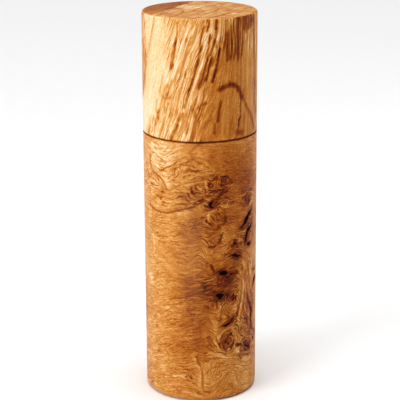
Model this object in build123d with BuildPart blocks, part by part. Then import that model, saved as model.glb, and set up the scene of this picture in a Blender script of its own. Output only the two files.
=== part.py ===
from build123d import *

import os
from math import asin, cos, degrees, pi, radians, sin, sqrt, tan

# Pepper mill: a turned wooden body and a pull-off wooden head around a ceramic burr grinder.
# All sizes are millimetres. The origin is the middle of the base, and +Z runs up the shaft.

# Turned wood
mill_diameter = 58.0
mill_height = 200.0
body_height = 138.6
seam_gap = 0.4
base_round = 3.0
crown_round = 1.5
seam_chamfer = 0.2
mouth_chamfer = 0.8
recess_chamfer = 0.6
hopper_diameter = 28.0
tenon_length = 8.0

# Clearances that every fit shares
fit_clearance = 0.1
slide_clearance = 0.15
running_clearance = 0.05
bore_clearance = 0.2
tenon_clearance = 0.3
end_float = 0.1

# Drive shaft: hexagonal bar with turned corners, clip grooves, a neck for the catch and a threaded end
hex_across_flats = 6.0
corner_turning = 0.08
thread_step = 1.0
thread_pitch = 0.8
knob_turns = 1.0
thread_run_out = 2.0
shaft_end_setback = 1.0
clip_groove_depth = 0.4
neck_depth = 0.5
shaft_reach = 22.0
shaft_lead = 0.8

# Ceramic burrs
rotor_diameter = 20.8
rotor_height = 11.0
rotor_wall = 0.9
fine_zone = 3.2
flare_angle = 30.0
fine_gap = 0.2
stator_rim = 3.0
stator_lip = 2.0
stator_keys = 3
stator_key_width = 2.6
stator_key_rise = 0.8
stator_key_length = 5.0
stator_key_angle = 60.0
coarse_flutes = 9
coarse_depth = 1.1
coarse_width = 2.8
coarse_twist = 35.0
fine_flutes = 36
fine_depth = 0.5
fine_width = 1.1
fine_twist = 10.0
flute_overshoot = 0.6
flute_clearance = 1.2

# Rotor carrier
carrier_hub_wall = 1.3
carrier_flange_width = 3.1
carrier_flange_thickness = 1.8
key_width = 2.4
key_rise = 0.8
key_length = 4.0

# Moulded housing, its retaining ring and the bridge that carries the bush
housing_wall = 1.8
housing_ledge = 1.2
housing_funnel = 0.9
funnel_depth = 1.8
flange_width = 4.5
flange_thickness = 2.4
retainer_thickness = 1.6
outlet_margin = 0.6
hub_height = 7.0
hub_wall = 1.4
arm_count = 3
arm_width = 3.2
arm_height = 4.4
arm_chamfer = 0.8
bush_wall = 1.15
bush_flange_width = 1.2
bush_flange_thickness = 0.8

# Clips, washers and the burr spring
clip_width = 2.1
clip_thickness = 0.8
clip_mouth = 4.0
washer_width = 2.2
washer_thickness = 0.6
spring_length = 9.0
spring_wire = 0.9
spring_turns = 5
spring_gap = 0.7
cup_thickness = 0.8
cup_rim = 0.7
cup_depth = 1.1

# Adjuster knob and its nut
table_clearance = 3.0
knob_diameter = 17.2
knob_height = 7.0
knob_chamfer = 0.6
scallops = 10
scallop_radius = 1.9
scallop_bite = 0.9
nut_wall = 1.5
nut_height = 4.0

# Drive socket, catch and drive plate in the head
socket_wall = 3.9
socket_end_wall = 2.0
socket_flange_thickness = 2.0
glue_grooves = 3
glue_groove_depth = 0.5
glue_groove_width = 1.6
catch_wire = 1.0
catch_spread = 0.8
catch_opening = 70.0
plate_thickness = 1.2
plate_margin = 1.1

# Countersunk wood screws
screw_count = 3
screw_shank = 2.2
screw_head = 3.8
screw_length = 11.0
countersink_angle = 90.0
screw_slot_length = 2.6
screw_slot_width = 0.6
screw_slot_depth = 0.5

# Radii, worked outwards from the shaft
mill_radius = mill_diameter / 2
hopper_radius = hopper_diameter / 2
tenon_radius = hopper_radius - tenon_clearance
flat_radius = hex_across_flats / 2
shaft_radius = flat_radius / cos(radians(30)) - corner_turning
thread_radius = flat_radius - thread_step / 2
groove_radius = flat_radius - clip_groove_depth
neck_radius = flat_radius - neck_depth
hex_bore = flat_radius + slide_clearance
hex_bore_corner = hex_bore / cos(radians(30))
clear_bore = shaft_radius + bore_clearance
carrier_hub_radius = hex_bore_corner + carrier_hub_wall
carrier_flange_radius = carrier_hub_radius + carrier_flange_width
rotor_bore = carrier_hub_radius + fit_clearance
rotor_radius = rotor_diameter / 2
rotor_throat = rotor_radius - fine_zone * tan(radians(flare_angle))
rotor_top_radius = rotor_bore + rotor_wall + coarse_depth
stator_flare = rotor_radius + fine_gap
stator_throat = rotor_throat + fine_gap
stator_radius = stator_flare + stator_rim
stator_top_radius = stator_radius - stator_lip
stator_seat = stator_radius + fit_clearance
housing_throat = stator_seat - housing_ledge
housing_radius = stator_seat + housing_wall
housing_bore = housing_radius + bore_clearance
flange_radius = housing_radius + flange_width
recess_radius = flange_radius + bore_clearance
bush_bore = shaft_radius + running_clearance
bush_radius = bush_bore + bush_wall
bush_flange_radius = bush_radius + bush_flange_width
hub_radius = bush_radius + fit_clearance + hub_wall
washer_radius = clear_bore + washer_width
clip_bore = groove_radius + running_clearance
clip_radius = clip_bore + clip_width
spring_radius = clear_bore + spring_gap + spring_wire / 2
cup_bore = spring_radius + spring_wire / 2 + fit_clearance
cup_radius = cup_bore + cup_rim
knob_radius = knob_diameter / 2
nut_bore = thread_radius + running_clearance
nut_flat = thread_radius + nut_wall
socket_radius = hex_bore_corner + socket_wall
socket_bore = socket_radius + fit_clearance
plate_radius = tenon_radius - plate_margin
shank_radius = screw_shank / 2
head_radius = screw_head / 2
pilot_radius = shank_radius + running_clearance
housing_screw_circle = (housing_bore + flange_radius) / 2
plate_screw_circle = (socket_bore + plate_radius) / 2

# Heights, stacked upwards from the table with the burrs at their widest setting
adjust_travel = thread_pitch * knob_turns
knob_bottom = table_clearance
knob_top = knob_bottom + knob_height
rotor_bottom = knob_top + carrier_flange_thickness
rotor_top = rotor_bottom + rotor_height
rotor_throat_height = rotor_bottom + fine_zone
stator_bottom = rotor_bottom + adjust_travel
stator_top = rotor_top
stator_throat_height = stator_bottom + fine_zone
retainer_bottom = stator_bottom - retainer_thickness
recess_ceiling = stator_bottom + flange_thickness
spring_bottom = rotor_top + cup_thickness
spring_top = spring_bottom + spring_length
lower_clip = spring_top + cup_thickness
lower_washer = lower_clip + clip_thickness
hub_bottom = lower_washer + washer_thickness + end_float
hub_top = hub_bottom + hub_height
upper_washer = hub_top + bush_flange_thickness + end_float
upper_clip = upper_washer + washer_thickness
hopper_floor = hub_top + bore_clearance
shaft_bottom = knob_bottom + shaft_end_setback
hex_start = knob_top + adjust_travel + thread_run_out
head_bottom = body_height + seam_gap
tenon_bottom = head_bottom - tenon_length
socket_bottom = tenon_bottom - socket_flange_thickness
plate_bottom = socket_bottom - plate_thickness
catch_height = socket_bottom + end_float + catch_wire / 2
catch_pocket = catch_wire + 2 * end_float
shaft_top = tenon_bottom + shaft_reach
socket_top = shaft_top + socket_end_wall
socket_bore_top = socket_top + bore_clearance
coil_start = spring_bottom + running_clearance + spring_wire / 2
coil_pitch = (spring_length - spring_wire - 2 * running_clearance) / spring_turns
screw_cone = (head_radius - shank_radius) / tan(radians(countersink_angle / 2))


def polar(radius, angle):
    """Point at that radius and angle, in degrees, about the shaft."""
    return (radius * cos(radians(angle)), radius * sin(radians(angle)))


def cone_radius(height, lower, upper):
    """Radius at a height on the cone through two (height, radius) pairs, also past its ends."""
    return lower[1] + (upper[1] - lower[1]) * (height - lower[0]) / (upper[0] - lower[0])


def flute(lower, upper, depth, width, twist):
    """V-groove cutter along a cone between two (height, radius) pairs. A negative depth cuts outwards."""
    clear = flute_clearance if depth > 0 else -flute_clearance
    mouth_width = width * (depth + clear) / depth
    ends = (lower[0] - flute_overshoot, upper[0] + flute_overshoot)
    with BuildPart() as cutter:
        for share in (0, 0.5, 1):
            height = ends[0] + share * (ends[1] - ends[0])
            surface = cone_radius(height, lower, upper)
            spread = degrees(asin(mouth_width / 2 / (surface + clear)))
            with BuildSketch(Plane.XY.offset(height)):
                with BuildLine():
                    Polyline(
                        polar(surface - depth, twist * share),
                        polar(surface + clear, twist * share - spread),
                        polar(surface + clear, twist * share + spread),
                        close=True,
                    )
                make_face()
        loft(ruled=True)
    return cutter.part


def wood_screw():
    """Countersunk screw with a cross slot, point up, with its head's flat on the origin."""
    with BuildPart() as screw:
        with BuildSketch(Plane.XZ):
            with BuildLine():
                Polyline(
                    (0, 0),
                    (head_radius, 0),
                    (shank_radius, screw_cone),
                    (shank_radius, screw_length - screw_shank),
                    (0, screw_length),
                    close=True,
                )
            make_face()
        revolve(axis=Axis.Z)
        with BuildSketch():
            with PolarLocations(0, 2, angular_range=180):
                Rectangle(screw_slot_length, screw_slot_width)
        extrude(amount=screw_slot_depth, mode=Mode.SUBTRACT)
    return screw.part


def spring_cup(seat, away):
    """Pressed cup for one end of the spring. Its floor lies away from the spring's seat height."""
    with BuildPart() as cup:
        with BuildSketch(Plane.XY.offset(seat)):
            Circle(cup_radius)
            Circle(clear_bore, mode=Mode.SUBTRACT)
        extrude(amount=away * cup_thickness)
        with BuildSketch(Plane.XY.offset(seat)):
            Circle(cup_radius)
            Circle(cup_bore, mode=Mode.SUBTRACT)
        extrude(amount=-away * cup_depth)
    return cup


def coil_point(turn):
    """Point of the spring's centre line after that many turns."""
    return Vector(*polar(spring_radius, 360 * turn), coil_start + coil_pitch * turn)


def coil_tangent(turn):
    """Direction of the spring's centre line there."""
    return Vector(*polar(2 * pi * spring_radius, 360 * turn + 90), coil_pitch).normalized()


def export(piece, name):
    """Label a finished piece and write it to its own file."""
    piece.part.label = name
    export_step(piece.part, f"parts/{name}.step")


os.makedirs("parts", exist_ok=True)

# Wooden body: hopper bore above, a wider bore for the housing, and a recess for the flange and knob
with BuildPart() as mill_body:
    with BuildSketch(Plane.XZ):
        with BuildLine():
            Polyline(
                (recess_radius, 0),
                (mill_radius, 0),
                (mill_radius, body_height),
                (hopper_radius, body_height),
                (hopper_radius, hopper_floor),
                (housing_bore, hopper_floor),
                (housing_bore, recess_ceiling),
                (recess_radius, recess_ceiling),
                close=True,
            )
        make_face()
    revolve(axis=Axis.Z)
    base_rings = mill_body.edges().group_by(Axis.Z)[0].sort_by(SortBy.RADIUS)
    rim_rings = mill_body.edges().group_by(Axis.Z)[-1].sort_by(SortBy.RADIUS)
    base_wall = mill_radius - recess_radius
    fillet(base_rings[-1], radius=min(base_round, base_wall * 0.6))
    chamfer(base_rings[0], length=min(recess_chamfer, base_wall * 0.2))
    chamfer(rim_rings[-1], length=seam_chamfer)
    chamfer(rim_rings[0], length=mouth_chamfer)
    with BuildSketch(Plane.XY.offset(recess_ceiling)):
        with PolarLocations(housing_screw_circle, screw_count):
            Circle(pilot_radius)
    extrude(amount=retainer_bottom + screw_length + end_float - recess_ceiling, mode=Mode.SUBTRACT)
export(mill_body, "mill_body")

# Wooden head: one turning with its tenon, and a blind bore for the drive socket
with BuildPart() as mill_head:
    with BuildSketch(Plane.XZ):
        with BuildLine():
            Polyline(
                (socket_bore, tenon_bottom),
                (tenon_radius, tenon_bottom),
                (tenon_radius, head_bottom),
                (mill_radius, head_bottom),
                (mill_radius, mill_height),
                (0, mill_height),
                (0, socket_bore_top),
                (socket_bore, socket_bore_top),
                close=True,
            )
        make_face()
    revolve(axis=Axis.Z)
    head_rings = mill_head.edges().filter_by(GeomType.CIRCLE)
    fillet(head_rings.group_by(Axis.Z)[-1], radius=crown_round)
    outer_rings = mill_head.edges().filter_by(GeomType.CIRCLE).group_by(SortBy.RADIUS)[-1]
    chamfer(outer_rings.sort_by(Axis.Z)[0], length=seam_chamfer)
    tenon_ring = mill_head.edges().group_by(Axis.Z)[0].sort_by(SortBy.RADIUS)[-1]
    chamfer(tenon_ring, length=mouth_chamfer)
    with BuildSketch(Plane.XY.offset(tenon_bottom)):
        with PolarLocations(plate_screw_circle, screw_count):
            Circle(pilot_radius)
    extrude(amount=plate_bottom + screw_length + end_float - tenon_bottom, mode=Mode.SUBTRACT)
export(mill_head, "mill_head")

# Moulded housing: flange under the recess ceiling, barrel up the bore, and a ledge over the stator
with BuildPart() as grinder_housing:
    with BuildSketch(Plane.XZ):
        with BuildLine():
            Polyline(
                (stator_seat, stator_bottom),
                (flange_radius, stator_bottom),
                (flange_radius, recess_ceiling),
                (housing_radius, recess_ceiling),
                (housing_radius, hub_top),
                (housing_throat + housing_funnel, hub_top),
                (housing_throat, hub_top - funnel_depth),
                (housing_throat, stator_top),
                (stator_seat, stator_top),
                close=True,
            )
        make_face()
    revolve(axis=Axis.Z)
    with BuildSketch(Plane.XY.offset(hub_top)):
        with PolarLocations(0, arm_count):
            Rectangle(
                housing_bore, arm_width + 2 * fit_clearance, align=(Align.MIN, Align.CENTER)
            )
    extrude(amount=-arm_height, mode=Mode.SUBTRACT)
    with BuildSketch(Plane.XY.offset(stator_bottom)):
        with PolarLocations(stator_seat - stator_key_rise, stator_keys, start_angle=stator_key_angle):
            Rectangle(
                stator_key_rise + housing_wall / 2,
                stator_key_width,
                align=(Align.MIN, Align.CENTER),
            )
    extrude(amount=stator_key_length)
    with BuildSketch(Plane.XY.offset(stator_bottom)):
        with PolarLocations(housing_screw_circle, screw_count):
            Circle(pilot_radius)
    extrude(amount=flange_thickness, mode=Mode.SUBTRACT)
export(grinder_housing, "grinder_housing")

# Bridge: a hub on three arms, whose feet drop into the notches of the housing's rim
with BuildPart() as shaft_bridge:
    with BuildSketch(Plane.XY.offset(hub_top)):
        with PolarLocations(0, arm_count):
            Rectangle(
                housing_radius - bore_clearance, arm_width, align=(Align.MIN, Align.CENTER)
            )
    extrude(amount=-arm_height)
    ridge_edges = shaft_bridge.faces().sort_by(Axis.Z)[-1].edges()
    long_edges = ridge_edges.filter_by(lambda edge: edge.length > housing_throat / 2)
    chamfer(long_edges, length=min(arm_chamfer, arm_width * 0.3))
    with BuildSketch(Plane.XY.offset(hub_bottom)):
        Circle(hub_radius)
    extrude(amount=hub_height)
    with BuildSketch(Plane.XY.offset(hub_bottom)):
        Circle(bush_radius + fit_clearance)
    extrude(amount=hub_height, mode=Mode.SUBTRACT)
export(shaft_bridge, "shaft_bridge")

# Flanged bush that the shaft's turned corners run in
with BuildPart() as shaft_bush:
    with BuildSketch(Plane.XZ):
        with BuildLine():
            Polyline(
                (bush_bore, hub_bottom),
                (bush_radius, hub_bottom),
                (bush_radius, hub_top),
                (bush_flange_radius, hub_top),
                (bush_flange_radius, hub_top + bush_flange_thickness),
                (bush_bore, hub_top + bush_flange_thickness),
                close=True,
            )
        make_face()
    revolve(axis=Axis.Z)
export(shaft_bush, "shaft_bush")

# Stator burr: ring with coarse flutes down to the throat and fine ones on the flare below it
stator_coarse_cone = ((stator_throat_height, stator_throat), (stator_top, stator_top_radius))
stator_fine_cone = ((stator_bottom, stator_flare), (stator_throat_height, stator_throat))
stator_coarse_flute = flute(*stator_coarse_cone, -coarse_depth, coarse_width, coarse_twist)
stator_fine_flute = flute(*stator_fine_cone, -fine_depth, fine_width, fine_twist)
with BuildPart() as stator_burr:
    with BuildSketch(Plane.XZ):
        with BuildLine():
            Polyline(
                (stator_flare, stator_bottom),
                (stator_radius, stator_bottom),
                (stator_radius, stator_top),
                (stator_top_radius, stator_top),
                (stator_throat, stator_throat_height),
                close=True,
            )
        make_face()
    revolve(axis=Axis.Z)
    with PolarLocations(0, coarse_flutes):
        add(stator_coarse_flute, mode=Mode.SUBTRACT)
    with PolarLocations(0, fine_flutes):
        add(stator_fine_flute, mode=Mode.SUBTRACT)
    with BuildSketch(Plane.XY.offset(stator_bottom)):
        with PolarLocations(stator_radius, stator_keys, start_angle=stator_key_angle):
            Rectangle(2 * stator_key_rise, stator_key_width + 2 * fit_clearance)
    extrude(amount=stator_key_length + fit_clearance, mode=Mode.SUBTRACT)
export(stator_burr, "stator_burr")

# Retaining ring that holds the stator up, screwed through the flange into the wood
with BuildPart() as burr_retainer:
    with BuildSketch(Plane.XY.offset(retainer_bottom)):
        Circle(flange_radius)
        Circle(stator_flare + outlet_margin, mode=Mode.SUBTRACT)
    extrude(amount=retainer_thickness)
    with Locations(Plane((0, 0, retainer_bottom), (1, 0, 0), (0, 0, -1))):
        with PolarLocations(housing_screw_circle, screw_count):
            CounterSinkHole(
                pilot_radius,
                head_radius + fit_clearance,
                depth=retainer_thickness,
                counter_sink_angle=countersink_angle,
            )
export(burr_retainer, "burr_retainer")

screw = wood_screw()
with BuildPart() as housing_screws:
    with Locations((0, 0, retainer_bottom)):
        with PolarLocations(housing_screw_circle, screw_count):
            add(screw)
export(housing_screws, "housing_screws")

# Drive shaft: hexagonal bar, turned in one go to this outline
with BuildPart() as drive_shaft:
    with BuildSketch(Plane.XY.offset(shaft_bottom)):
        RegularPolygon(flat_radius, 6, major_radius=False)
    extrude(amount=shaft_top - shaft_bottom)
    with BuildSketch(Plane.XZ):
        with BuildLine():
            Polyline(
                (0, shaft_bottom),
                (thread_radius - thread_step / 2, shaft_bottom),
                (thread_radius, shaft_bottom + thread_step / 2),
                (thread_radius, hex_start),
                (shaft_radius, hex_start),
                (shaft_radius, lower_clip),
                (groove_radius, lower_clip),
                (groove_radius, lower_clip + clip_thickness),
                (shaft_radius, lower_clip + clip_thickness),
                (shaft_radius, upper_clip),
                (groove_radius, upper_clip),
                (groove_radius, upper_clip + clip_thickness),
                (shaft_radius, upper_clip + clip_thickness),
                (shaft_radius, catch_height - catch_wire),
                (neck_radius, catch_height - catch_wire / 2 - end_float),
                (neck_radius, catch_height + catch_wire / 2 + end_float),
                (shaft_radius, catch_height + catch_wire),
                (shaft_radius, shaft_top - shaft_lead),
                (shaft_radius - shaft_lead, shaft_top),
                (0, shaft_top),
                close=True,
            )
        make_face()
    revolve(axis=Axis.Z, mode=Mode.INTERSECT)
export(drive_shaft, "drive_shaft")

# Open clips in the shaft's two grooves, above and below the bush
with BuildPart() as shaft_clips:
    for height in (lower_clip, upper_clip):
        with BuildSketch(Plane.XY.offset(height)):
            Circle(clip_radius)
            Circle(clip_bore, mode=Mode.SUBTRACT)
            Rectangle(
                clip_radius, clip_mouth, align=(Align.MIN, Align.CENTER), mode=Mode.SUBTRACT
            )
        extrude(amount=clip_thickness)
export(shaft_clips, "shaft_clips")

with BuildPart() as thrust_washers:
    for height in (lower_washer, upper_washer):
        with BuildSketch(Plane.XY.offset(height)):
            Circle(washer_radius)
            Circle(clear_bore, mode=Mode.SUBTRACT)
        extrude(amount=washer_thickness)
export(thrust_washers, "thrust_washers")

export(spring_cup(spring_top, 1), "upper_spring_cup")
export(spring_cup(spring_bottom, -1), "lower_spring_cup")

# Burr spring: each quarter turn of the helix is two arcs that meet on one tangent
with BuildPart() as burr_spring:
    with BuildLine() as coil:
        for quarter in range(4 * spring_turns):
            start, end = coil_point(quarter / 4), coil_point((quarter + 1) / 4)
            start_way, end_way = coil_tangent(quarter / 4), coil_tangent((quarter + 1) / 4)
            chord, ways = end - start, start_way + end_way
            bend = 2 - 2 * start_way.dot(end_way)
            reach = (sqrt(chord.dot(ways) ** 2 + bend * chord.dot(chord)) - chord.dot(ways)) / bend
            middle = (start + start_way * reach + end - end_way * reach) * 0.5
            TangentArc(start, middle, tangent=start_way)
            TangentArc(middle, end, tangent=chord - ways * reach)
    with BuildSketch(Plane(origin=coil_point(0), z_dir=coil_tangent(0))):
        Circle(spring_wire / 2)
    sweep(path=coil.wires()[0])
export(burr_spring, "burr_spring")

# Rotor carrier: a keyed hub on a flange, with a hexagonal bore that slides on the shaft
with BuildPart() as rotor_carrier:
    with BuildSketch(Plane.XY.offset(knob_top)):
        Circle(carrier_flange_radius)
    extrude(amount=carrier_flange_thickness)
    with BuildSketch(Plane.XY.offset(rotor_bottom)):
        Circle(carrier_hub_radius)
    extrude(amount=rotor_height)
    with BuildSketch(Plane.XY.offset(rotor_bottom)):
        Rectangle(2 * (carrier_hub_radius + key_rise), key_width)
    extrude(amount=key_length)
    with BuildSketch(Plane.XY.offset(knob_top)):
        RegularPolygon(hex_bore, 6, major_radius=False)
    extrude(amount=rotor_top - knob_top, mode=Mode.SUBTRACT)
export(rotor_carrier, "rotor_carrier")

# Rotor burr: cone with coarse flutes above the throat and fine ones on the flare, keyed to the carrier
rotor_coarse_cone = ((rotor_throat_height, rotor_throat), (rotor_top, rotor_top_radius))
rotor_fine_cone = ((rotor_bottom, rotor_radius), (rotor_throat_height, rotor_throat))
rotor_coarse_flute = flute(*rotor_coarse_cone, coarse_depth, coarse_width, -coarse_twist)
rotor_fine_flute = flute(*rotor_fine_cone, fine_depth, fine_width, -fine_twist)
with BuildPart() as rotor_burr:
    with BuildSketch(Plane.XZ):
        with BuildLine():
            Polyline(
                (rotor_bore, rotor_bottom),
                (rotor_radius, rotor_bottom),
                (rotor_throat, rotor_throat_height),
                (rotor_top_radius, rotor_top),
                (rotor_bore, rotor_top),
                close=True,
            )
        make_face()
    revolve(axis=Axis.Z)
    with PolarLocations(0, coarse_flutes):
        add(rotor_coarse_flute, mode=Mode.SUBTRACT)
    with PolarLocations(0, fine_flutes):
        add(rotor_fine_flute, mode=Mode.SUBTRACT)
    with BuildSketch(Plane.XY.offset(rotor_bottom)):
        Rectangle(2 * (rotor_bore + key_rise), key_width + 2 * fit_clearance)
    extrude(amount=key_length + fit_clearance, mode=Mode.SUBTRACT)
export(rotor_burr, "rotor_burr")

# Adjuster knob: scalloped, with a hexagonal pocket for its nut
with BuildPart() as adjuster_knob:
    with BuildSketch(Plane.XY.offset(knob_bottom)):
        Circle(knob_radius)
        with PolarLocations(knob_radius + scallop_radius - scallop_bite, scallops):
            Circle(scallop_radius, mode=Mode.SUBTRACT)
    extrude(amount=knob_height)
    chamfer(adjuster_knob.edges().group_by(Axis.Z)[0], length=knob_chamfer)
    with BuildSketch(Plane.XY.offset(knob_top)):
        RegularPolygon(nut_flat + fit_clearance, 6, major_radius=False)
    extrude(amount=-nut_height, mode=Mode.SUBTRACT)
    with BuildSketch(Plane.XY.offset(knob_bottom)):
        Circle(thread_radius + bore_clearance)
    extrude(amount=knob_height, mode=Mode.SUBTRACT)
export(adjuster_knob, "adjuster_knob")

with BuildPart() as knob_nut:
    with BuildSketch(Plane.XY.offset(knob_top)):
        RegularPolygon(nut_flat, 6, major_radius=False)
        Circle(nut_bore, mode=Mode.SUBTRACT)
    extrude(amount=-nut_height)
export(knob_nut, "knob_nut")

# Drive socket: glued in the head, its hexagonal bore closed above, with a pocket for the catch below
groove_pitch = (socket_top - tenon_bottom) / (glue_grooves + 1)
with BuildPart() as drive_socket:
    with BuildSketch(Plane.XZ):
        with BuildLine():
            Polyline(
                (0, socket_bottom),
                (plate_radius, socket_bottom),
                (plate_radius, tenon_bottom),
                (socket_radius, tenon_bottom),
                (socket_radius, socket_top),
                (0, socket_top),
                close=True,
            )
        make_face()
    revolve(axis=Axis.Z)
    for groove in range(glue_grooves):
        with BuildSketch(Plane.XY.offset(tenon_bottom + groove_pitch * (groove + 1))):
            Circle(socket_radius)
            Circle(socket_radius - glue_groove_depth, mode=Mode.SUBTRACT)
        extrude(amount=glue_groove_width / 2, both=True, mode=Mode.SUBTRACT)
    with BuildSketch(Plane.XY.offset(socket_bottom)):
        RegularPolygon(hex_bore, 6, major_radius=False)
    extrude(amount=shaft_top - socket_bottom, mode=Mode.SUBTRACT)
    with BuildSketch(Plane.XY.offset(socket_bottom)):
        Circle(neck_radius + catch_wire + fit_clearance + catch_spread)
    extrude(amount=catch_pocket, mode=Mode.SUBTRACT)
    with BuildSketch(Plane.XY.offset(socket_bottom)):
        with PolarLocations(plate_screw_circle, screw_count):
            Circle(pilot_radius)
    extrude(amount=socket_flange_thickness, mode=Mode.SUBTRACT)
export(drive_socket, "drive_socket")

# Spring catch: open ring of wire in the shaft's neck
with BuildPart() as catch_spring:
    with BuildSketch(Plane.XZ):
        with Locations((neck_radius + fit_clearance + catch_wire / 2, catch_height)):
            Circle(catch_wire / 2)
    revolve(axis=Axis.Z, revolution_arc=360 - catch_opening)
export(catch_spring, "catch_spring")

# Drive plate: holds the catch in its pocket and takes the turning load off the glue
with BuildPart() as drive_plate:
    with BuildSketch(Plane.XY.offset(plate_bottom)):
        Circle(plate_radius)
        RegularPolygon(hex_bore, 6, major_radius=False, mode=Mode.SUBTRACT)
    extrude(amount=plate_thickness)
    with Locations(Plane((0, 0, plate_bottom), (1, 0, 0), (0, 0, -1))):
        with PolarLocations(plate_screw_circle, screw_count):
            CounterSinkHole(
                pilot_radius,
                head_radius + fit_clearance,
                depth=plate_thickness,
                counter_sink_angle=countersink_angle,
            )
export(drive_plate, "drive_plate")

with BuildPart() as plate_screws:
    with Locations((0, 0, plate_bottom)):
        with PolarLocations(plate_screw_circle, screw_count):
            add(screw)
export(plate_screws, "plate_screws")

samples = [coil_point(step / 60) for step in range(60 * spring_turns + 1)]
coil_gap = min(
    (samples[first] - samples[later]).length
    for first in range(len(samples))
    for later in range(first + 40, len(samples))
) - spring_wire
print(f"burr spring: least gap between turns {coil_gap:.2f} mm")
print(f"adjuster: {knob_turns * 360:.0f} degrees lift the rotor {adjust_travel:.2f} mm")
print(f"recess ceiling {recess_ceiling:.2f}, hopper floor {hopper_floor:.2f}, plate {plate_bottom:.2f}")
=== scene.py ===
# %% [markdown]
# # A turned pepper mill in burl wood
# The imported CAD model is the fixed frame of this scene. Its grinder, shaft, springs and screws keep their
# exact shapes and get their finishes here. The two wooden turnings are built again as finer surfaces,
# because burl wood has open knots and cracks that a solid model would be far too heavy for.

# %% Load the frame and keep its size
import math

import bpy
import numpy as np
from mathutils import Matrix, Vector


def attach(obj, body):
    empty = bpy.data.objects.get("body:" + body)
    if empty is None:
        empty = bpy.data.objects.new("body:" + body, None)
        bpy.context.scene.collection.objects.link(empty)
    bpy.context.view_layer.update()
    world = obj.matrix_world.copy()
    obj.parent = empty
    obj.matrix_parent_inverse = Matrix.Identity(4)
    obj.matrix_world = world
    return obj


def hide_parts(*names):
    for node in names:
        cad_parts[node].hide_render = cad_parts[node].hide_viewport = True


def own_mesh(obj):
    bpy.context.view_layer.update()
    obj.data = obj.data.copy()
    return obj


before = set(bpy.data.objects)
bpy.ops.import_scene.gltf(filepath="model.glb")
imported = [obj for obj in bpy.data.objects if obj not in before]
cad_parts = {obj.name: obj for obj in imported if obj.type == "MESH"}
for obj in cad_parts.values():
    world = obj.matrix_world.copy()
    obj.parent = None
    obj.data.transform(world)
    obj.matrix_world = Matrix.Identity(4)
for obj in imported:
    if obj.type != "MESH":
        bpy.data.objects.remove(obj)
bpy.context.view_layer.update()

scene = bpy.context.scene
scene.view_settings.view_transform = "Standard"

# %% [markdown]
# ## Camera
# A product photographer stands back and uses a long lens, so that a straight mill keeps straight sides.
# The camera could be aimed with a constraint, but a place and two angles say the same in a few numbers:
# it stands 0.7 m away, a little above the crown, looks down about 17 degrees and leans a quarter degree.

# %% Camera
LENS_MM = 126.3
SENSOR_MM = 36.0
EYE = (-0.00015, -0.697, 0.310)
LOOK_DOWN = math.radians(16.71)
ROLL = math.radians(-0.247)
MILL_MIDDLE = (0, 0, 0.1)

camera = bpy.data.objects.new("camera", bpy.data.cameras.new("camera"))
camera.data.lens = LENS_MM
camera.data.sensor_width = SENSOR_MM
camera.matrix_world = (
    Matrix.Translation(EYE)
    @ Matrix.Rotation(math.pi / 2 - LOOK_DOWN, 4, "X")
    @ Matrix.Rotation(ROLL, 4, "Z")
)
scene.collection.objects.link(camera)
scene.camera = camera
print("camera", round(math.dist(EYE, MILL_MIDDLE), 3), "m from the middle of the mill")

# %% [markdown]
# ## Shader arithmetic
# A finish is a small calculation that runs at every point of a surface. Wiring it node by node is hard to
# read, so one class stands for a wire in the node tree. Plus, minus and times on wires add Math nodes, and
# short methods add the other kinds.


# %% A wire in a node tree
class Wire:
    """One output of a node. Arithmetic on wires adds Math nodes to their tree."""

    def __init__(self, tree, socket=None):
        self.tree, self.socket = tree, socket

    def node(self, kind, settings=None, inputs=None, output=0):
        """Add any node: first its settings, then a number, a colour or a wire for each socket."""
        made = self.tree.nodes.new("ShaderNode" + kind)
        for name, value in (settings or {}).items():
            if name == "stops":
                for _ in value[2:]:
                    made.color_ramp.elements.new(1.0)
                for element, (place, colour) in zip(made.color_ramp.elements, value):
                    element.position, element.color = place, colour
            else:
                setattr(made, name, value)
        for name, value in (inputs or {}).items():
            if isinstance(value, Wire):
                self.tree.links.new(value.socket, made.inputs[name])
            else:
                made.inputs[name].default_value = value
        return Wire(self.tree, made.outputs[output] if made.outputs else None)

    def math(self, operation, *values):
        return self.node("Math", {"operation": operation}, dict(enumerate(values)))

    def __add__(self, other):
        return self.math("ADD", self, other)

    def __sub__(self, other):
        return self.math("SUBTRACT", self, other)

    def __rsub__(self, other):
        return self.math("SUBTRACT", other, self)

    def __mul__(self, other):
        return self.math("MULTIPLY", self, other)

    __radd__ = __add__
    __rmul__ = __mul__

    def bell(self, width):
        """1 where the wire is zero, and down to 0 over that width: e to the power of minus the square."""
        share = self * (1 / width)
        return self.math("EXPONENT", share * share * -1)

    def step(self, low, high):
        """A smooth step from 0 at the low value to 1 at the high one."""
        return self.node("MapRange", {"interpolation_type": "SMOOTHSTEP"}, {0: self, 1: low, 2: high})

    def mix(self, first, second):
        """Blend two colours, this wire being the share of the second."""
        return self.node("Mix", {"data_type": "RGBA"}, {0: self, 6: first, 7: second}, 2)

    def tones(self, colour, *factors):
        """Blend two tones of a linear colour, each the colour times its factor."""
        dark, light = ((*(min(1.0, factor * v) for v in colour), 1.0) for factor in factors)
        return self.mix(dark, light)

    def place(self):
        """The piece's own coordinates in metres."""
        return self.node("TexCoord", None, None, "Object")

    def stretched(self, shares):
        """These coordinates, each times its share."""
        return self.node("VectorMath", {"operation": "MULTIPLY"}, {0: self, 1: shares})

    def noise(self, size_mm, detail=1.0):
        """Noise of that size over these coordinates, from 0 to 1."""
        return self.node("TexNoise", None, {"Vector": self, "Scale": 1000 / size_mm, "Detail": detail})

    def bump(self, strength, depth_mm):
        """Normals that tilt as if this wire were a height."""
        return self.node("Bump", None, {"Strength": strength, "Distance": depth_mm / 1000, "Height": self})


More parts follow.
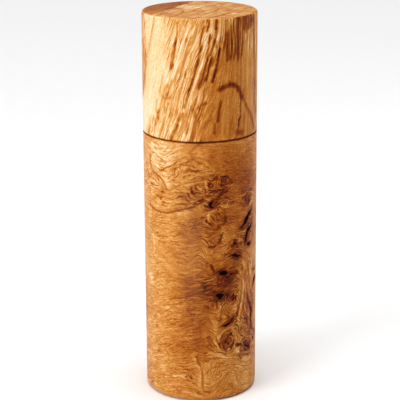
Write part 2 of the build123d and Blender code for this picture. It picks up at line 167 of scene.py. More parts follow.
def srgb(red, green, blue):
    """A screen colour of 0 to 255 as the linear colour that shaders work in."""
    share = np.array([red, green, blue]) / 255
    linear = np.where(share < 0.04045, share / 12.92, ((share + 0.055) / 1.055) ** 2.4)
    return (*(float(v) for v in linear), 1.0)


def new_finish(name):
    """A material with an empty node tree, and the wire that starts it."""
    material = bpy.data.materials.new(name)
    material.use_nodes = True
    material.node_tree.nodes.clear()
    return material, Wire(material.node_tree)


def set_surface(wire, sockets):
    """One Principled shader with those sockets, wired to the material's output."""
    shader = wire.node("BsdfPrincipled", None, sockets)
    wire.node("OutputMaterial", None, {"Surface": shader})


print("shader wires ready")

# %% [markdown]
# ## The figure of the wood
# Burl wood grows in folded layers. Where a turning cuts through the layers, each one shows as a line, so
# the whole figure can be drawn from one number per point: the growth height of the layer that is cut
# there. Lines of equal growth are the grain. A knot pushes the layers aside, as a stone in a stream does,
# and has rings of its own inside. An image would fix all this from one side only, so it is worked out at
# every vertex instead, in millimetres round and up the mill.

# %% Noise and distances on the turning
MILL_RADIUS = 29.0
MILL_HEIGHT = 200.0
SEAM_HEIGHT = 138.8
# brings noise close to the range from -1 to 1
NOISE_GAIN = 1.6


def smooth(low, high, value):
    """Smooth step: with s the clipped share of the way from low to high, 3 s squared minus 2 s cubed."""
    share = np.clip((value - low) / (high - low), 0, 1)
    return share * share * (3 - 2 * share)


def noise(points, size, seed):
    """Gradient noise: every corner of a lattice has a random slope, and each point blends the heights of
    the eight slopes around it with smooth weights."""
    rng = np.random.default_rng(seed)
    order = rng.permutation(256)
    slopes = rng.normal(size=(256, 3))
    slopes /= np.linalg.norm(slopes, axis=1, keepdims=True)
    place = points / size
    cell = np.floor(place).astype(int)
    away = place - cell
    fade = away**3 * (away * (away * 6 - 15) + 10)
    total = np.zeros(len(points))
    for corner in np.ndindex(2, 2, 2):
        x, y, z = ((cell + corner) & 255).T
        slope = slopes[order[(order[(order[x] + y) & 255] + z) & 255]]
        weight = np.prod(np.where(corner, fade, 1 - fade), axis=1)
        total += weight * np.sum(slope * (away - corner), axis=1)
    return NOISE_GAIN * total


def rough_noise(points, size, seed):
    """Two octaves of noise, the second half as large and half as strong."""
    return noise(points, size, seed) + 0.5 * noise(points, np.divide(size, 2), seed + 1)


def arc(angle, at):
    """Millimetres round the turning from a place given in degrees, the short way."""
    return MILL_RADIUS * ((angle - np.radians(at) + np.pi) % (2 * np.pi) - np.pi)


def bell(value, width):
    """1 at zero, and e to the power of minus the square of the value in widths beside it."""
    return np.exp(-((value / width) ** 2))


def blob(angle, height, at, up, half_width, half_height):
    """A soft round patch: the bell of the way round times that of the way up."""
    return bell(arc(angle, at), half_width) * bell(height - up, half_height)


def patches(angle, height, spots):
    """The sum of soft patches, each times the last number of its spot."""
    return sum(amount * blob(angle, height, *spot) for *spot, amount in spots)


def left_side(angle, start, full):
    """0 to 1 between two angles in degrees on the left, and back to 0 behind, where the angles meet: the
    share of painted light on the side the key light falls on.
    """
    degrees = np.degrees(angle)
    return smooth(start, full, degrees) * smooth(-175, -120, degrees)


def line_distance(angle, height, line):
    """Distance in mm to a bent line of (degrees, mm) points, and the share of the way along it."""
    nearest = np.full(angle.shape, np.inf)
    along = np.zeros(angle.shape)
    for k, ((at, up), (next_at, next_up)) in enumerate(zip(line, line[1:])):
        run, rise = np.radians(next_at - at) * MILL_RADIUS, next_up - up
        s, t = arc(angle, at), height - up
        share = np.clip((s * run + t * rise) / (run * run + rise * rise), 0, 1)
        distance = np.hypot(s - share * run, t - share * rise)
        along = np.where(distance < nearest, (k + share) / (len(line) - 1), along)
        nearest = np.minimum(nearest, distance)
    return nearest, along


# %% [markdown]
# ## Knots, tilts and patches of the body
# These short lists are what a wood carver would chalk on the turning. Angles are degrees round the mill,
# 0 facing the camera and positive to its right, and heights are millimetres above the table. The back,
# which nobody has seen, carries the same marks once more, upside down.

# %% The body's marks
# every spot starts with degrees, height, half width and half height
# then ring direction and darkness
KNOTS = [
    (8, 117.5, 2.4, 2.2, 1, 0.35), (15, 120.5, 2.2, 1.5, -1, 0.5), (24, 118.5, 2.8, 2.2, 1, 0.5),
    (-6, 113.5, 2.4, 2.2, -1, 0.35), (13, 107.3, 2.6, 2.3, 1, 0.6), (25.5, 107.5, 2.6, 2.5, -1, 0.3),
    (17, 99.5, 4.7, 4.4, 1, 0.12), (15, 88, 3.4, 2.6, -1, 0.15), (56, 106, 3.8, 3.2, 1, 0.55),
    (36, 84.5, 3.4, 2.4, -1, 0.5), (26, 66.5, 4.4, 3.6, 1, 0.8), (31, 56.5, 4, 4, -1, 0.4),
    (12, 53, 2.4, 2.3, 1, 0.2), (18.5, 52, 1.7, 1.6, -1, 0.6), (29, 46, 4.4, 3.6, 1, 0.25),
    (28.5, 32.5, 4.8, 5.4, -1, 0.5), (45, 37.3, 2.2, 2.2, 1, 0.8), (52.5, 39.5, 2.2, 2.3, -1, 0.8),
    (56, 26.5, 6, 5.4, 1, 0.65), (15, 14.5, 3.4, 2.4, -1, 0.1), (-10, 13.5, 1.7, 1.5, 1, 0.4),
    (84, 30, 4, 4.4, -1, 0.3), (96, 58, 3.4, 3, 1, 0.4), (100, 96, 5, 4, 1, 0.5),
    (88, 118, 3.6, 3.2, -1, 0.3),
]
# then the slope of the layers
TILTS = [
    (-48, 14, 24, 16, -0.4), (-34, 46, 30, 22, -0.34), (-46, 86, 24, 16, -0.12), (-47, 119, 8, 6, 0.7),
    (-28, 130, 12, 7, -0.5), (50, 58, 9, 20, 3.6), (4, 80, 4, 9, 1.4), (24, 91, 3, 5, 1.6),
    (13, 42, 4, 9, 2), (0, 16, 4, 8, 1.4), (20, 11, 9, 9, -1.3), (90, 76, 10, 16, 0.8),
]
# then a change of tone
BODY_PATCHES = [
    (-40, 131, 16, 8, 0.14), (-5, 133, 8, 6, 0.05), (-40, 119, 14, 7, 0.05), (-3, 111, 8, 5, -0.1),
    (-3, 97, 7, 4.5, -0.1), (-26, 17, 9, 9, -0.06), (-62, 60, 14, 60, 0.04), (-10, 82, 9, 14, -0.08),
    (-5, 76, 6, 7, -0.06), (16, 131, 11, 8, -0.1), (-12, 94, 6, 5, -0.06), (2, 45, 13, 14, -0.12),
    (-10, 64, 6, 6, -0.1), (3, 63, 9, 7, -0.2), (8, 74, 7, 7, -0.1), (-4, 30, 14, 9, -0.08),
    (-25, 40, 14, 16, -0.05), (52, 8, 9, 7, 0.09), (26, 66, 7, 6, -0.28), (18, 58, 6, 3.5, -0.24),
    (33, 56, 5, 5, -0.08), (29, 45, 5, 5, -0.06), (28.5, 32.5, 4.5, 5.5, -0.15), (56, 26, 5, 4.5, -0.12),
    (30, 119, 12, 8, -0.08), (16, 115, 8, 6, -0.1), (26, 104, 8, 10, -0.07), (56, 116, 10, 18, -0.2),
    (18, 101, 9, 8, -0.1), (12, 89, 9, 7, -0.09), (62, 47, 5, 8, -0.14), (56, 90, 8, 9, -0.12),
    (40, 76, 8, 8, -0.21), (48, 62, 4.5, 14, 0.1), (14, 40, 3, 8, 0.06), (25, 90, 3, 6, 0.06),
    (70, 100, 9, 40, 0.04), (100, 88, 12, 16, -0.08),
]
# then a change of contrast
CONTRAST_PATCHES = [
    (-45, 75, 26, 50, -0.1), (-42, 131, 13, 8, 0.1), (50, 58, 7, 18, 0.4), (20, 130, 26, 8, -0.15),
    (4, 74, 10, 34, 0.3),
]
# then the strength of the curls
BURL_ZONES = [
    (15, 115, 8, 6, 1), (-3, 111, 6, 5, 0.9), (12, 106, 5, 4, 1), (-6, 97, 6, 4, 0.7),
    (26, 67, 7, 6, 1), (20, 57, 7, 4, 1), (8, 64, 7, 5, 0.5), (56, 89, 7, 10, 1), (38, 80, 7, 5, 1),
    (55, 107, 6, 5, 0.8), (33, 42, 9, 6, 0.6), (-30, 118, 22, 14, 0.4), (-40, 92, 14, 8, 0.25),
    (32, 33, 5, 5, 0.8), (56, 26, 6, 5, 0.8), (-45, 131, 10, 6, 0.4), (97, 92, 9, 10, 0.8),
]

# degrees from a mark to its copy behind
COPY_TURN = 170


def upside_down(up):
    """The height of a mark when its turning, body or head, stands on its other end."""
    bottom, top = (SEAM_HEIGHT, MILL_HEIGHT) if up > SEAM_HEIGHT else (0, SEAM_HEIGHT)
    return bottom + top - up


def behind(spots):
    """The same places behind and upside down, for the side that nobody has seen."""
    return [(at + COPY_TURN, upside_down(up), *rest) for at, up, *rest in spots]


for spots in (KNOTS, TILTS, BODY_PATCHES, BURL_ZONES):
    spots += behind(spots)
print(len(KNOTS), "knots,", len(TILTS), "tilts and", len(BODY_PATCHES), "patches on the body")

# %% [markdown]
# ## Open marks
# Burl has bark pockets, which are open lens-shaped holes, and fine cracks that a turner leaves as they
# are. Each is a bent line with a half thickness in millimetres. They are pressed into the surface later,
# so they catch real shade.

# %% Pockets, cracks, dark and light lines
# half thickness, then the points of the line
POCKETS = [
    (0.95, (43, 91.8), (50, 94), (57, 97.3), (63, 100)), (0.9, (52, 83), (53.5, 86), (57, 89.5), (65, 91.8)),
    (0.7, (55, 83), (59, 82), (62.5, 82.5)), (1.1, (33, 78.9), (38, 78.2), (43, 77.2)),
    (1.5, (18.5, 70.4), (23, 70), (28.5, 69.6)), (0.35, (28, 69.6), (33, 69.2), (39, 68.7)),
    (1.35, (16, 58.2), (20, 58), (24, 58.6)), (0.85, (21.5, 41.2), (26, 41.2), (31, 42.5), (35, 45)),
    (0.55, (56, 53), (59.5, 49.5), (64, 46.3), (64.8, 43), (62.6, 40.2), (64, 37.6), (67.5, 36)),
    (0.55, (51.5, 27.5), (55, 26), (59, 24.7), (63, 24)), (1.2, (68, 57.5), (74, 60), (78, 62.5)),
    (0.5, (66, 67), (72, 66), (78, 66.2)), (0.55, (36, 85.4), (38, 84.8), (40, 84)),
    (0.7, (14, 109.6), (10.5, 107.8), (10.5, 105.8), (14, 104.8)), (0.5, (57, 107), (57, 105), (59, 104)),
    (0.9, (92, 97), (100, 99), (106, 98)),
]
CRACKS = [
    (0.55, (-10, 116.5), (-8, 114), (-5, 111)), (0.4, (-14, 113), (-11, 112), (-9, 110.5)),
    (0.5, (-3, 109), (1, 109.3), (5, 110)), (0.45, (0, 111), (2, 109.5), (1, 107.8)),
    (0.4, (4, 112), (8, 111.2), (12, 111)), (0.4, (-6, 117), (-4, 115), (-1, 114)),
    (0.35, (-15, 111), (-13, 109), (-10, 108.2)), (0.4, (3, 116), (5.5, 114), (4.5, 112.5)),
    (0.3, (-2, 107.5), (-5, 108.3), (-7, 107)), (0.7, (16, 110.5), (20, 111.5), (24, 112.6), (28, 113.3)),
    (0.5, (18, 112.3), (22, 113.3), (25, 114.5)), (0.5, (9, 119), (9.5, 116.8), (8, 115)),
    (0.45, (13, 121.3), (15.5, 121.8), (17.5, 120.7), (16, 119)),
    (0.45, (22, 120), (25, 119.8), (26.5, 118), (25, 116.5)), (0.35, (20, 116), (22, 115.2), (24, 116)),
    (0.35, (11, 114.5), (13, 113.4), (15, 114)), (0.6, (5, 99.6), (7.5, 97.4), (10, 96.2), (13.5, 95.5)),
    (0.45, (23.5, 92.5), (22.5, 89), (19.5, 86.8), (17, 85.6)),
    (0.4, (17, 85.6), (13, 84.6), (9, 84.8), (8.5, 86)), (0.18, (20.5, 90.5), (18.5, 88), (15, 86.8)),
    (0.55, (9.5, 75.5), (12.5, 72.5), (16, 70)), (0.35, (27.5, 81.5), (30, 80.5), (33, 79.8)),
    (0.55, (34, 87), (37, 86.3), (40, 84.8)), (0.5, (31, 84.5), (34, 83.5), (37, 84.3)),
    (0.3, (42, 85), (45, 83.5), (48, 84.5)), (0.6, (24, 67.5), (27, 65), (31, 66), (34, 64)),
    (0.55, (22, 65), (25, 62.5), (30, 62.3)), (0.4, (19.5, 68.3), (20, 65.5), (22, 63)),
    (0.4, (31, 68), (34.5, 66.5), (35.5, 64)), (0.45, (33, 69.3), (38, 68.6), (42, 68)),
    (0.4, (14, 57.5), (17, 56.6), (21, 56.2)), (0.3, (25, 60.3), (29, 59.3), (33, 60.6)),
    (0.25, (27, 57), (30, 54.5), (34, 54)), (0.25, (9, 61), (12, 59.5), (15, 58.8)),
    (0.22, (38, 45.5), (42, 48.3), (46.5, 53)), (0.4, (52, 110), (51.5, 107), (53, 105)),
    (0.45, (22, 33), (24, 29.5), (27, 27)), (0.3, (26, 36), (29, 34), (32, 30.5)),
    (0.2, (27, 34.5), (28.5, 31.5), (31, 29)), (0.35, (-10.5, 15), (-9.5, 13), (-8.5, 12.4)),
    (0.25, (-63, 26), (-60, 26.5)), (0.28, (-51, 24), (-47.5, 25)), (0.22, (-58, 42.5), (-53, 43.5)),
    (0.25, (-18.5, 30), (-15, 30.3)),
    (0.36, (37.6, 138.9), (40, 143), (42, 148.5), (43.5, 154), (44.5, 160)),
    (0.35, (94, 88), (101, 90), (105, 93)),
]
# half width, change of tone, then the points of the line
TONE_LINES = [
    (0.55, -0.36, (20, 165), (25, 166.2), (30, 167), (36, 166.5), (40, 165), (43, 162), (45, 160)),
    (0.5, -0.2, (47, 158.5), (50, 156.3), (55, 153), (60, 150), (65, 146), (70, 141.5)),
    (1, -0.22, (66, 197), (69, 180), (70, 170), (71, 160), (75, 150)),
    (0.35, -0.26, (-1, 156), (2, 158), (6, 158.8)), (0.9, -0.25, (40, 142.5), (46, 141.5)),
    (0.3, -0.28, (20.5, 158.5), (19, 154), (17.5, 149.5)), (0.3, -0.18, (14.5, 148), (14, 142.5)),
    (0.35, -0.35, (-30, 139.5), (-25, 144), (-22, 147)),
    (0.5, -0.2, (-6, 155), (-3, 150), (-5, 145), (-6.5, 141)), (0.4, -0.2, (-12, 148), (-14, 144)),
    (0.5, -0.28, (-17, 153), (-20, 150)),
    (0.8, 0.06, (8, 197), (6, 190), (3.5, 182), (0, 174.5), (-5, 167), (-10.5, 160), (-15, 153), (-20, 147)),
    (0.25, -0.36, (4, 196), (1, 190), (0, 184), (-2, 178), (-5, 172), (-9, 166), (-13, 160), (-15.5, 156)),
    (0.2, -0.38, (10, 192), (8, 185), (6, 178), (2.5, 171), (-1, 166)),
    (0.22, -0.36, (14, 190), (12, 183), (9, 176), (6, 170)),
    (0.26, -0.4, (20, 185), (18, 180), (15, 174), (12, 169)),
    (0.25, -0.26, (17, 195), (15.5, 190), (16, 186)), (0.3, -0.35, (8, 200), (9, 197), (7, 194)),
    (0.3, -0.3, (17, 199), (16, 195)),
    (0.12, -0.28, (-21.5, 198), (-22, 192), (-24, 186), (-26, 180), (-28.5, 175)),
    (0.8, 0.1, (-18.5, 197), (-19.5, 188), (-22, 181), (-27, 174), (-33, 168.5)),
    (0.2, -0.14, (-42, 162.5), (-40, 160.5), (-36, 159.8), (-31, 160.2)),
    (0.2, -0.12, (-43, 163), (-40.5, 166), (-39, 170)), (0.35, -0.16, (-47, 158), (-48, 153), (-46, 149)),
    (0.3, -0.16, (-63, 179), (-57, 186), (-52, 194), (-49, 200)),
    (0.3, -0.24, (47, 72), (47.5, 64), (46, 56), (42, 49), (38, 44)),
    (0.3, -0.22, (50, 70), (51, 62), (51, 55), (48, 48), (45, 43)),
    (0.35, -0.28, (53, 68), (54.5, 60), (56, 54), (58, 50)),
    (0.3, -0.18, (57, 72), (58, 64), (61, 57), (66, 52), (70, 47)),
    (0.3, -0.2, (52, 54), (55, 48), (56, 42), (58, 36), (62, 33)),
    (0.3, -0.18, (49, 50), (50, 45), (53, 42)),
    (0.6, 0.12, (49, 73), (49, 64), (48.5, 56), (45, 48), (41, 42)),
    (0.5, 0.1, (54, 66), (53, 58), (53, 52)), (0.5, 0.06, (10, 48), (14.5, 43), (15.5, 38), (14, 32)),
    (0.4, 0.1, (22.5, 95), (24.5, 91), (23.5, 87.5)), (0.5, 0.08, (3, 92), (4, 86), (4, 80), (5, 75)),
    (0.7, 0.09, (-22, 101.3), (-17, 102), (-13, 103)), (0.7, 0.1, (-58, 128), (-56.5, 124.5), (-52, 122)),
    (0.5, 0.08, (-41, 120), (-36, 117.5), (-33, 114.5)),
    (0.25, 0.1, (-57, 88), (-54, 82), (-55, 77), (-48, 75.5), (-38, 75.8)),
    (0.15, -0.13, (0, 138.7), (-5, 136.3), (-10, 133.8), (-8, 131), (0, 128.5), (8, 126)),
    (0.18, -0.2, (-4.5, 25), (-2.5, 22), (0.5, 18.8), (1.8, 15), (1.4, 11), (1.4, 7.5), (4, 5.2), (9, 5.2)),
    (0.7, 0.08, (-6.5, 24), (-4, 20.5), (-1.5, 17.5), (-0.6, 13), (-1, 8)),
    (0.5, 0.08, (4, 16), (4.5, 11), (5, 8)),
    (0.3, 0.2, (7.5, 97.5), (8, 101), (11, 103), (16, 104), (21, 103)),
    (0.25, -0.18, (25, 102), (26.5, 99), (24, 96), (18, 94.8)),
    (0.3, 0.14, (22, 105.3), (25, 104.8), (28.5, 106), (29.5, 108)),
    (0.35, 0.2, (6, 118.5), (7, 117), (6.5, 115)), (0.12, -0.12, (-35, 55), (-20, 57), (-5, 60), (5, 61)),
    (0.1, -0.1, (-28, 56.5), (-14, 59.5), (0, 63)), (0.1, -0.1, (-42, 51), (-28, 52.5), (-12, 56)),
    (0.4, 0.12, (-28, 13), (-17, 13.6)), (0.2, -0.16, (-14, 98), (-9, 98.4), (-5, 97)),
    (0.2, -0.16, (-11, 95.3), (-7, 95.8), (-4, 95)),
    (0.15, -0.3, (-62, 103), (-55, 101.5), (-45, 101), (-35, 101.2), (-25, 103), (-15, 104.5),
     (-5, 106.2), (3, 109)),
    (0.3, -0.24, (-59, 129), (-60, 125.5), (-57, 122), (-50, 120), (-43, 119), (-39.5, 117), (-36, 114.3)),
    (0.12, -0.22, (-45, 122), (-37, 124.5), (-30, 126), (-20, 127), (-10, 127.2)),
    (0.4, 0.08, (20, 36), (24, 39.5), (29, 40), (35, 38), (37.5, 33), (35, 27)),
    (0.5, -0.4, (62.5, 35.8), (68, 33.5), (76, 30.8)),
]

for marks in (POCKETS, CRACKS):
    marks += [(half, *behind(line)) for half, *line in marks]
TONE_LINES += [(half, amount, *behind(line)) for half, amount, *line in TONE_LINES]


def line_tone(points, angle, height):
    """Change of tone along the tone lines, fading from full at the line to none past its half width."""
    change = np.zeros(angle.shape)
    ragged = 0.8 * noise(points, 1.6, 83)
    for half, amount, *line in TONE_LINES:
        distance, _ = line_distance(angle, height, line)
        change += amount * smooth(half + min(1.6, 2 * half + 0.4), 0, distance + min(1, half + 0.1) * ragged)
    return change


NO_MARK = -9.0


def open_marks(points, angle, height, marks, fray):
    """Depth in mm inside the marks, negative outside: a lens-shaped half thickness minus the distance."""
    best = np.full(angle.shape, NO_MARK)
    ragged = fray * (0.6 * noise(points, 1.1, 81) + 0.8 * noise(points, (2.4, 2.4, 1.8), 82))
    angle = angle + 0.9 * noise(points, 3.2, 84) / MILL_RADIUS
    height = height + 0.7 * noise(points, 3.2, 85)
    for half, *line in marks:
        distance, along = line_distance(angle, height, line)
        lens = half * (0.15 + 0.95 * np.sin(np.pi * along) ** 0.7)
        best = np.maximum(best, lens - distance + ragged * half)
    return best


print(len(POCKETS), "pockets,", len(CRACKS), "cracks and", len(TONE_LINES), "tone lines")

# %% [markdown]
# ## Growth layers of the body
# In the body the layers lie nearly level. Slow noise makes them roll, the tilts turn them locally, and
# each knot bends them: outside a knot they follow the stream lines round a post, and inside it they are
# rings, counted from its edge to its middle.


# %% Layers of the body
RING_SPACING = 1.5


def knot_layers(points, angle, height):
    """Shift of the layers in mm, change of tone and liveliness from all knots. With r the distance in knot
    sizes, layers move by the height over r squared outside, and by the share left to the middle inside."""
    sway_round = 0.8 * noise(points, 2.8, 101)
    sway_up = 0.8 * noise(points, 2.8, 102)
    shift, tone, lively = np.zeros((3, len(points)))
    for at, up, half_width, half_height, turn, darkness in KNOTS:
        s = (arc(angle, at) + sway_round) / half_width
        t = (height - up + sway_up) / half_height
        r = np.hypot(s, t)
        round_it = np.where(r < 1, 1, np.exp(-0.9 * (r - 1)) / np.maximum(r, 1) ** 2)
        shift += half_height * (1.1 * turn * np.clip(1 - r, 0, 1) - 0.8 * t * round_it)
        tone -= darkness * (0.28 * smooth(1.15, 0.25, r) + 0.1 * bell(r - 1, 0.16))
        rings = np.cos(2 * np.pi * r * half_height / RING_SPACING) * smooth(1.25, 0.9, r)
        tone += (0.02 + 0.1 * darkness) * rings
        lively = np.maximum(lively, min(1, 0.1 + 1.6 * abs(darkness)) * smooth(2.4, 0.8, r))
    return shift, tone, lively


def body_figure(points, angle, height):
    """Growth height, tone, contrast and liveliness on the body."""
    shift, tone, lively = knot_layers(points, angle, height)
    grain = height + 2.4 * noise(points, (18, 18, 11), 11) + 0.7 * noise(points, (8, 8, 5), 12)
    grain += 0.45 * noise(points, (4.5, 4.5, 3.2), 21)
    for at, *rest, slope in TILTS:
        grain += slope * arc(angle, at) * blob(angle, height, at, *rest)
    for *zone, strength in BURL_ZONES:
        lively = np.maximum(lively, strength * smooth(0.15, 0.7, blob(angle, height, *zone)))
    grain += shift + lively * (1.5 * rough_noise(points, 4.2, 23) + 1.3 * noise(points, 2.6, 25))
    tone += 0.60 + 0.05 * rough_noise(points, (18, 18, 16), 61) + line_tone(points, angle, height)
    # painted light: the left side of the body, which the key light falls on, is painted lighter
    tone += 0.06 * left_side(angle, -10, -40) + 0.05 * rough_noise(points, 5.0, 63)
    tone += patches(angle, height, BODY_PATCHES)
    contrast = 0.45 + 0.6 * lively + 0.15 * smooth(85, 55, height)
    contrast += patches(angle, height, CONTRAST_PATCHES)
    return grain, tone, contrast, lively


print("body layers ready")

# %% [markdown]
# ## Growth layers of the head
# The head was cut from calmer wood beside the burl: its layers stand almost upright and lean to the right,
# so they cross the front as steep streaks. A wedge of pale sapwood lies on the left, a quiet golden area on
# the right, and a few dark bands and patches of streaks between them.


# %% Layers of the head
# spots with a change of tone
HEAD_PATCHES = [(60, 166, 6, 26, 0.08), (-8, 190, 8, 9, 0.1), (14, 190, 8, 10, 0.08)]
# the edges of the pale wedge: heights, and the degrees of its left and right edge there
SAP_HEIGHTS = [139, 146, 152, 157, 160, 165, 170, 175, 180, 190, 200]
SAP_LEFT = [-112, -108, -98, -82, -74, -69, -67, -65, -64, -67, -70]
SAP_RIGHT = [-70, -61, -52, -45, -41, -37, -36, -32, -34, -36, -36]
HEAD_MIDDLE = 170
LAYER_SHARE = 0.55


def head_figure(points, angle, height):
    """Growth height, tone, contrast and liveliness on the head: layers are counted in mm round
    the front, less a lean that fades out to the right, and lie about twice as far apart as in the body."""
    degrees = np.degrees(angle)
    across = MILL_RADIUS * np.sign(angle) * np.minimum(np.abs(angle), np.pi - np.abs(angle))
    lean = 0.05 + 0.29 * (1 - smooth(2, 22, across))
    grain = across - lean * (height - HEAD_MIDDLE)
    grain += 1.8 * rough_noise(points, (12, 12, 34), 31) + 0.6 * noise(points, (3.5, 3.5, 12), 41)
    calm_from = np.interp(height, [139, 165, 184], [-6, 6, 22])
    calm = smooth(0, 10, degrees - calm_from) * smooth(75, 60, degrees) * smooth(186, 178, height)
    # painted light: the left side of the head, which the key light falls on, is painted lighter
    tone = 0.66 + 0.06 * left_side(angle, -5, -25) - 0.1 * calm
    tone += patches(angle, height, HEAD_PATCHES)
    tone += 0.05 * rough_noise(points, (18, 18, 16), 61)
    contrast = 0.98 * (1 - 0.66 * calm)
    edge = 2.2 * noise(points, (4, 4, 6), 71)
    frayed = edge + 6 * noise(points, (2.2, 2.2, 15), 72) * smooth(165, 155, height)
    softness = 1.5 + 7 * smooth(162, 150, height)
    sap = smooth(-1, 1, (degrees - np.interp(height, SAP_HEIGHTS, SAP_LEFT) + frayed) / softness)
    sap *= smooth(7, -7, degrees - np.interp(height, SAP_HEIGHTS, SAP_RIGHT) + 2 * edge)
    back_wedge = blob(angle, height, 165, 188, 6, 26) + 0.35 * noise(points, (1.6, 1.6, 14), 74)
    sap = np.maximum(sap, smooth(0.3, 0.75, back_wedge))
    tone += sap * (0.9 - tone) * 0.9 + 0.08 * smooth(165, 145, height) * blob(angle, height, -50, 145, 16, 20)
    tone -= 0.1 * blob(angle, height, -74, 174, 5, 11)
    contrast *= 1 - 0.85 * sap
    streaky = blob(angle, height, 34, 187, 7, 8.5) + blob(angle, height, 52, 198, 8, 6)
    streaky = smooth(0.3, 0.6, streaky + 0.3 * noise(points, (1.3, 1.3, 7), 73))
    band = bell(grain - 4.5, 3.4) * smooth(160, 174, height) * smooth(197, 184, height)
    band *= np.abs(degrees) < 90
    streaky = np.maximum(streaky, 0.5 * band)
    tone -= 0.25 * streaky
    contrast += 0.4 * streaky
    tone += line_tone(points, angle, height)
    return LAYER_SHARE * grain, tone, contrast, np.zeros(len(points))


# dark lines of the crown: mm to the right and to the back of its middle
CROWN_LINES = [
    [(-3.6, -5), (-0.9, 2.6), (3.3, 7.5), (9, 13)], [(-6.3, 16.4), (-1.6, 17), (3.7, 22.7)],
    [(-16, 2.6), (-11.9, 3.8), (-8.4, -3.8)], [(-14.5, -24), (-11.1, -17.7), (-8.4, -11.4), (-8, -5)],
    [(4.5, -27), (11.6, -17.7), (20.2, -8.9)], [(7, -24), (14, -12), (19, -3)], [(3, -14), (8, -6), (10, 2)],
    [(-19.5, -18), (-18, -11), (-15.5, -6)], [(10, 18), (15, 12), (20, 14)],
]


def crown_figure(points):
    """Growth height and tone on the flat crown: level lines lean to the right, the back left is darker, and
    a few dark lines cross it. The top is measured like a side that is laid out flat."""
    x, y, _ = points.T
    grain = -0.62 * x + 0.52 * y + 0.9 * rough_noise(points, (11, 11, 30), 55)
    edge = 3 * noise(points, 4, 56) + 1.6 * noise(points, 1.6, 58)
    back_left = smooth(-0.8, 0.8, 0.43 * y - x - 15.2 + edge) * (0.45 + 0.55 * smooth(-12, 3, y))
    pale = bell(x + 4, 7) * bell(y - 8, 7)
    tone = 0.7 - 0.3 * back_left + 0.12 * pale * (1 - back_left) + 0.07 * rough_noise(points, 9, 57)
    ragged = noise(points, 1.5, 59)
    for line in CROWN_LINES:
        line = [(math.degrees(right / MILL_RADIUS), back) for right, back in line]
        distance, _ = line_distance(x / MILL_RADIUS, y, line)
        tone -= 0.2 * smooth(1.1, 0, distance + 0.9 * ragged)
    return grain, tone


print("head layers ready")

# %% [markdown]
# ## Turning the wood
# A lathe piece is one outline carried round the axis. Blender has a Screw modifier for it, but here every
# vertex also needs its grain, so the grid is worked out directly: one row per outline point, one column
# per step of angle. Close pairs of rows beside each corner keep the shading of flat faces flat.


# %% Outlines
# mm from a corner to the second row of its pair
EDGE_PAIR = 0.07
BASE_ROUND = 3.0
CROWN_ROUND = 1.5
# corners of the CAD turnings: radius and height in mm
BASE = [(20.8, 0), (26, 0)]
BODY_SIDE = [(29, 3), (29, 138.4), (28.8, 138.6)]
HOPPER = [(28.8, 138.6), (14.8, 138.6), (14, 137.8), (14, 42.1)]
GRINDER_BORES = [(14, 42.1), (15.7, 42.1), (15.7, 15), (20.2, 15), (20.2, 0.6), (20.8, 0)]
TENON = [(0, 155.2), (7.64, 155.2), (7.64, 131), (12.9, 131), (13.7, 131.8), (13.7, 139), (28.8, 139)]
HEAD_SIDE = [(28.8, 139), (29, 139.2), (29, 198.5)]
CROWN = [(27.5, 200), (0, 200)]


def straight(start, end, step, outside=0, lid=0):
    """Rows of an outline on a straight run: radius, height, the outward normal, outside and lid marks."""
    start, end = np.array(start, float), np.array(end, float)
    length = np.hypot(*(end - start))
    share = np.linspace(0, 1, max(2, math.ceil(length / step) + 1))
    pair = min(EDGE_PAIR / length, 0.25)
    share = np.unique(np.concatenate([share, [pair, 1 - pair]]))[:, None]
    along = (end - start) / length
    marks = [along[1], -along[0], outside, lid]
    return np.hstack([start + share * (end - start), np.tile(marks, (len(share), 1))])


def bent(corners, steps, **marks):
    """Straight runs from corner to corner, each with its own step."""
    return np.vstack([straight(*run, **marks) for run in zip(corners, corners[1:], steps)])


def rounded(centre, radius, begin, finish, steps, lid=(0, 0)):
    """Rows of an outline on an arc, from one angle in degrees to another."""
    turn = np.radians(np.linspace(begin, finish, steps + 1))
    normal = np.column_stack([np.cos(turn), np.sin(turn)])
    marks = np.column_stack([np.ones(steps + 1), np.linspace(*lid, steps + 1)])
    return np.hstack([np.array(centre) + radius * normal, normal, marks])


def joined(*runs):
    """One outline of several runs, without the points that two runs share."""
    rows = np.vstack(runs)
    keep = np.append(True, np.hypot(*np.diff(rows[:, :2], axis=0).T) > 1e-6)
    keep[-1] &= np.hypot(*(rows[-1, :2] - rows[0, :2])) > 1e-6
    return rows[keep]


body_outline = joined(
    bent(BASE, [1.2], outside=1),
    rounded((MILL_RADIUS - BASE_ROUND, BASE_ROUND), BASE_ROUND, -90, 0, 8),
    bent(BODY_SIDE, [0.6, 0.2], outside=1),
    bent(HOPPER, [1.4, 0.5, 4.5]),
    bent(GRINDER_BORES, [1.0, 4.0, 1.5, 2.0, 0.5]),
)
head_outline = joined(
    bent(TENON, [2.0, 3.0, 1.3, 0.5, 1.0, 1.4]),
    bent(HEAD_SIDE, [0.2, 0.56], outside=1),
    rounded((MILL_RADIUS - CROWN_ROUND, MILL_HEIGHT - CROWN_ROUND), CROWN_ROUND, 0, 90, 6, lid=(0, 1)),
    bent(CROWN, [0.62], outside=1, lid=1),
)
print("outline rows:", len(body_outline), "body,", len(head_outline), "head")


# %% Grid to mesh
def new_piece(name, points, faces, rounded_look):
    """An object at the origin on a mesh of points in mm and faces."""
    mesh = bpy.data.meshes.new(name)
    mesh.from_pydata((points / 1000).tolist(), [], faces)
    mesh.polygons.foreach_set("use_smooth", np.full(len(faces), rounded_look))
    piece = bpy.data.objects.new(name, mesh)
    scene.collection.objects.link(piece)
    return piece


def grid_quads(number):
    """The corners of every face of a grid of vertex numbers whose columns wrap round."""
    beside = np.roll(number, -1, axis=1)
    return np.stack([number[:-1], beside[:-1], beside[1:], number[1:]], -1)


